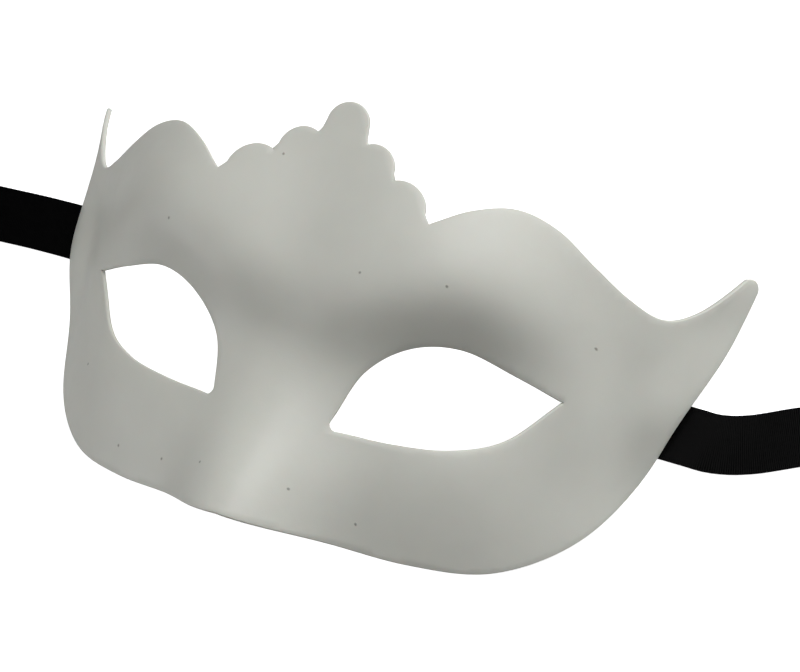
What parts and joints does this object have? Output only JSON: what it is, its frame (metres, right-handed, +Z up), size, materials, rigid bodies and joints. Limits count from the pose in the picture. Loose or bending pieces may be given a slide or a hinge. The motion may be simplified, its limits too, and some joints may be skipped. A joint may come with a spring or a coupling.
{
  "type": "venetian masquerade mask",
  "caption": "Plain white half mask with almond eye holes, a scalloped crown, two horns and black satin tie ribbons, lying face up.",
  "frame": {"origin": "under the middle of the shell and its glue pads, on the table that the mask lies on", "axes": "+X to the right as one looks at the face, +Y to the crown, +Z up out of the face"},
  "size_m": [0.3669, 0.1154, 0.0557],
  "materials": {
    "white_plastic": "satin white moulded plastic",
    "clear_glue": "clouded hot-melt glue",
    "black_satin": "black satin ribbon"
  },
  "bodies": {
    "mask": {"mask_shell": "white_plastic", "glue_pad_left": "clear_glue", "glue_pad_right": "clear_glue", "ribbon_tab_left": "black_satin", "ribbon_tab_right": "black_satin"},
    "ribbon_left": {"ribbon_left": "black_satin", "ribbon_coil_left": "black_satin"},
    "ribbon_right": {"ribbon_right": "black_satin", "ribbon_coil_right": "black_satin"}
  },
  "joints": [
    {"name": "ribbon_left_swing", "type": "hinge", "parent": "mask", "child": "ribbon_left", "pos_m": [-0.07984, 0.0154, 0.0003], "axis": [0, 1, 0], "range_deg": [-100, 70]},
    {"name": "ribbon_right_swing", "type": "hinge", "parent": "mask", "child": "ribbon_right", "pos_m": [0.07858, 0.0089, 0.0003], "axis": [0, -1, 0], "range_deg": [-100, 70]}
  ]
}
